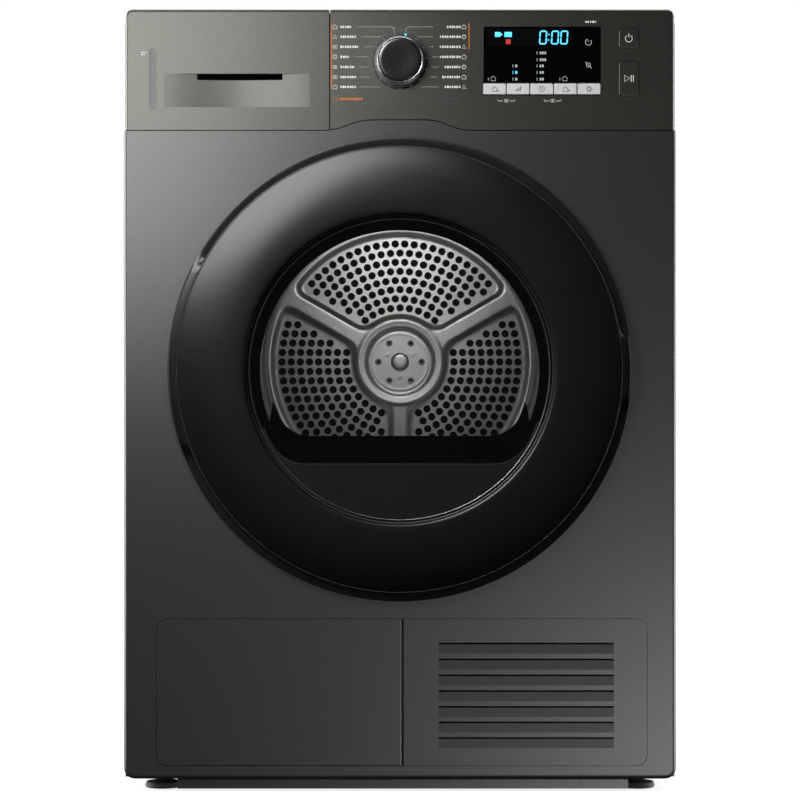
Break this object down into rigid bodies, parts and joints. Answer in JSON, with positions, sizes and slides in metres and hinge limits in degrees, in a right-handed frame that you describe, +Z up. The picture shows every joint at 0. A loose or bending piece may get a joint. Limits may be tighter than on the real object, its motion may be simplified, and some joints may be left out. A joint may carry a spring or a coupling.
{
  "type": "clothes dryer",
  "caption": "Front-loading heat-pump clothes dryer with round glass door, perforated steel drum, condensate drawer, dial and display, service flap and vent grille.",
  "frame": {"origin": "on the floor, in the middle of the width and of the depth", "axes": "+Z up, front and door face -Y, +X is to the right of someone facing the front"},
  "size_m": [0.6, 0.636, 0.85],
  "materials": {
    "cabinet_paint": "satin dark silver-grey paint with fine metallic grain",
    "band_metal": "satin warm grey metallic",
    "galvanised": "dull zinc-coated sheet",
    "dark_plastic": "matte",
    "black_plastic": "satin black",
    "grey_plastic": "matte",
    "grille_plastic": "satin, painted to match the cabinet",
    "foot_plastic": "matte",
    "silver_plastic": "satin silver",
    "gloss_black": "high gloss",
    "display_glass": "high gloss",
    "board": "matte",
    "rubber": "matte",
    "hinge_steel": "zinc-plated",
    "drum_steel": "satin stainless",
    "motor_steel": "satin",
    "cast_housing": "painted",
    "black_paint": "semi-gloss",
    "fin_aluminium": "bare",
    "copper": "bare copper",
    "chrome": "polished",
    "clear_glass": "clear",
    "tinted_glass": "lightly tinted, glossy"
  },
  "bodies": {
    "cabinet": {"front_panel": "cabinet_paint", "left_side_panel": "cabinet_paint", "right_side_panel": "cabinet_paint", "rear_panel": "galvanised", "rear_duct_cover": "galvanised", "top_cover": "cabinet_paint", "base_tray": "dark_plastic", "control_fascia": "band_metal", "display_window": "display_glass", "control_board": "board", "front_bulkhead": "black_plastic", "door_gasket": "rubber", "latch_catch": "dark_plastic", "hinge_bracket": "hinge_steel", "drum_bearing": "cast_housing", "motor_body": "motor_steel", "drive_belt": "rubber", "blower_housing": "dark_plastic", "compressor": "black_paint", "heat_exchanger": "fin_aluminium", "exchanger_cover": "grey_plastic", "refrigerant_pipes": "copper", "drain_spigot": "grey_plastic", "roller_axles": "hinge_steel", "vent_grille": "grille_plastic", "cabinet_screws": "hinge_steel", "tank_tray": "grey_plastic"},
    "door": {"door_ring": "gloss_black", "door_frame": "black_plastic", "door_bowl": "clear_glass", "door_window": "tinted_glass", "door_lower_plate": "black_plastic", "latch_hook": "hinge_steel", "hinge_leaf": "hinge_steel"},
    "drum": {"drum_shell": "drum_steel", "drum_rear_wall": "drum_steel", "drum_lifters": "drum_steel", "drum_shaft": "hinge_steel", "hub_screws": "hinge_steel"},
    "motor_rotor": {"motor_rotor": "hinge_steel", "blower_fan": "grey_plastic"},
    "left_roller": {"left_drum_roller": "rubber"},
    "right_roller": {"right_drum_roller": "rubber"},
    "program_knob": {"knob_cap": "gloss_black", "knob_bezel": "chrome"},
    "power_button": {"power_button": "band_metal"},
    "start_button": {"start_button": "band_metal"},
    "tank_drawer": {"tank_front": "band_metal", "water_tank": "grey_plastic"},
    "service_flap": {"service_flap": "cabinet_paint"},
    "front_left_foot": {"front_left_foot": "foot_plastic"},
    "front_right_foot": {"front_right_foot": "foot_plastic"},
    "rear_left_foot": {"rear_left_foot": "foot_plastic"},
    "rear_right_foot": {"rear_right_foot": "foot_plastic"},
    "lint_filter": {"lint_filter": "grey_plastic"},
    "option_button_1": {"option_button_1": "silver_plastic"},
    "option_button_2": {"option_button_2": "silver_plastic"},
    "option_button_3": {"option_button_3": "silver_plastic"},
    "option_button_4": {"option_button_4": "silver_plastic"},
    "option_button_5": {"option_button_5": "silver_plastic"}
  },
  "joints": [
    {"name": "door_hinge", "type": "hinge", "parent": "cabinet", "child": "door", "pos_m": [0.246, -0.291, 0.4584], "axis": [0, 0, 1], "range_deg": [0, 150]},
    {"name": "drum_spin", "type": "hinge", "parent": "cabinet", "child": "drum", "pos_m": [0, 0, 0.474], "axis": [0, 1, 0], "continuous": true},
    {"name": "motor_spin", "type": "hinge", "parent": "cabinet", "child": "motor_rotor", "pos_m": [0.195, 0, 0.15], "axis": [0, 1, 0], "continuous": true},
    {"name": "left_roller_spin", "type": "hinge", "parent": "cabinet", "child": "left_roller", "pos_m": [-0.14725, -0.181, 0.21896], "axis": [0, 1, 0], "continuous": true},
    {"name": "right_roller_spin", "type": "hinge", "parent": "cabinet", "child": "right_roller", "pos_m": [0.14725, -0.181, 0.21896], "axis": [0, 1, 0], "continuous": true},
    {"name": "program_knob_turn", "type": "hinge", "parent": "cabinet", "child": "program_knob", "pos_m": [0, -0.282, 0.793], "axis": [0, 1, 0], "continuous": true},
    {"name": "tank_slide", "type": "slide", "parent": "cabinet", "child": "tank_drawer", "axis": [0, -1, 0], "range_m": [0, 0.45]},
    {"name": "flap_hinge", "type": "hinge", "parent": "cabinet", "child": "service_flap", "pos_m": [0.0004, -0.2794, 0.1085], "axis": [0, 0, 1], "range_deg": [0, 85]},
    {"name": "filter_lift", "type": "slide", "parent": "cabinet", "child": "lint_filter", "axis": [0, 0, 1], "range_m": [0, 0.015]},
    {"name": "option_1_press", "type": "slide", "parent": "cabinet", "child": "option_button_1", "axis": [0, 1, 0], "range_m": [0, 0.0012], "stiffness_N_per_m": 400},
    {"name": "option_2_press", "type": "slide", "parent": "cabinet", "child": "option_button_2", "axis": [0, 1, 0], "range_m": [0, 0.0012], "stiffness_N_per_m": 400},
    {"name": "option_3_press", "type": "slide", "parent": "cabinet", "child": "option_button_3", "axis": [0, 1, 0], "range_m": [0, 0.0012], "stiffness_N_per_m": 400},
    {"name": "option_4_press", "type": "slide", "parent": "cabinet", "child": "option_button_4", "axis": [0, 1, 0], "range_m": [0, 0.0012], "stiffness_N_per_m": 400},
    {"name": "option_5_press", "type": "slide", "parent": "cabinet", "child": "option_button_5", "axis": [0, 1, 0], "range_m": [0, 0.0012], "stiffness_N_per_m": 400},
    {"name": "power_press", "type": "slide", "parent": "cabinet", "child": "power_button", "axis": [0, 1, 0], "range_m": [0, 0.0012], "stiffness_N_per_m": 400},
    {"name": "start_press", "type": "slide", "parent": "cabinet", "child": "start_button", "axis": [0, 1, 0], "range_m": [0, 0.0012], "stiffness_N_per_m": 400},
    {"name": "front_left_foot_turn", "type": "hinge", "parent": "cabinet", "child": "front_left_foot", "pos_m": [-0.26, -0.237, 0], "axis": [0, 0, 1], "continuous": true},
    {"name": "front_right_foot_turn", "type": "hinge", "parent": "cabinet", "child": "front_right_foot", "pos_m": [0.26, -0.237, 0], "axis": [0, 0, 1], "continuous": true},
    {"name": "rear_left_foot_turn", "type": "hinge", "parent": "cabinet", "child": "rear_left_foot", "pos_m": [-0.26, 0.255, 0], "axis": [0, 0, 1], "continuous": true},
    {"name": "rear_right_foot_turn", "type": "hinge", "parent": "cabinet", "child": "rear_right_foot", "pos_m": [0.26, 0.255, 0], "axis": [0, 0, 1], "continuous": true}
  ],
  "couplings": [
    {"joint": "motor_spin", "follows": "drum_spin", "ratio": 16.758},
    {"joint": "left_roller_spin", "follows": "drum_spin", "ratio": -13.7},
    {"joint": "right_roller_spin", "follows": "drum_spin", "ratio": -13.7}
  ]
}
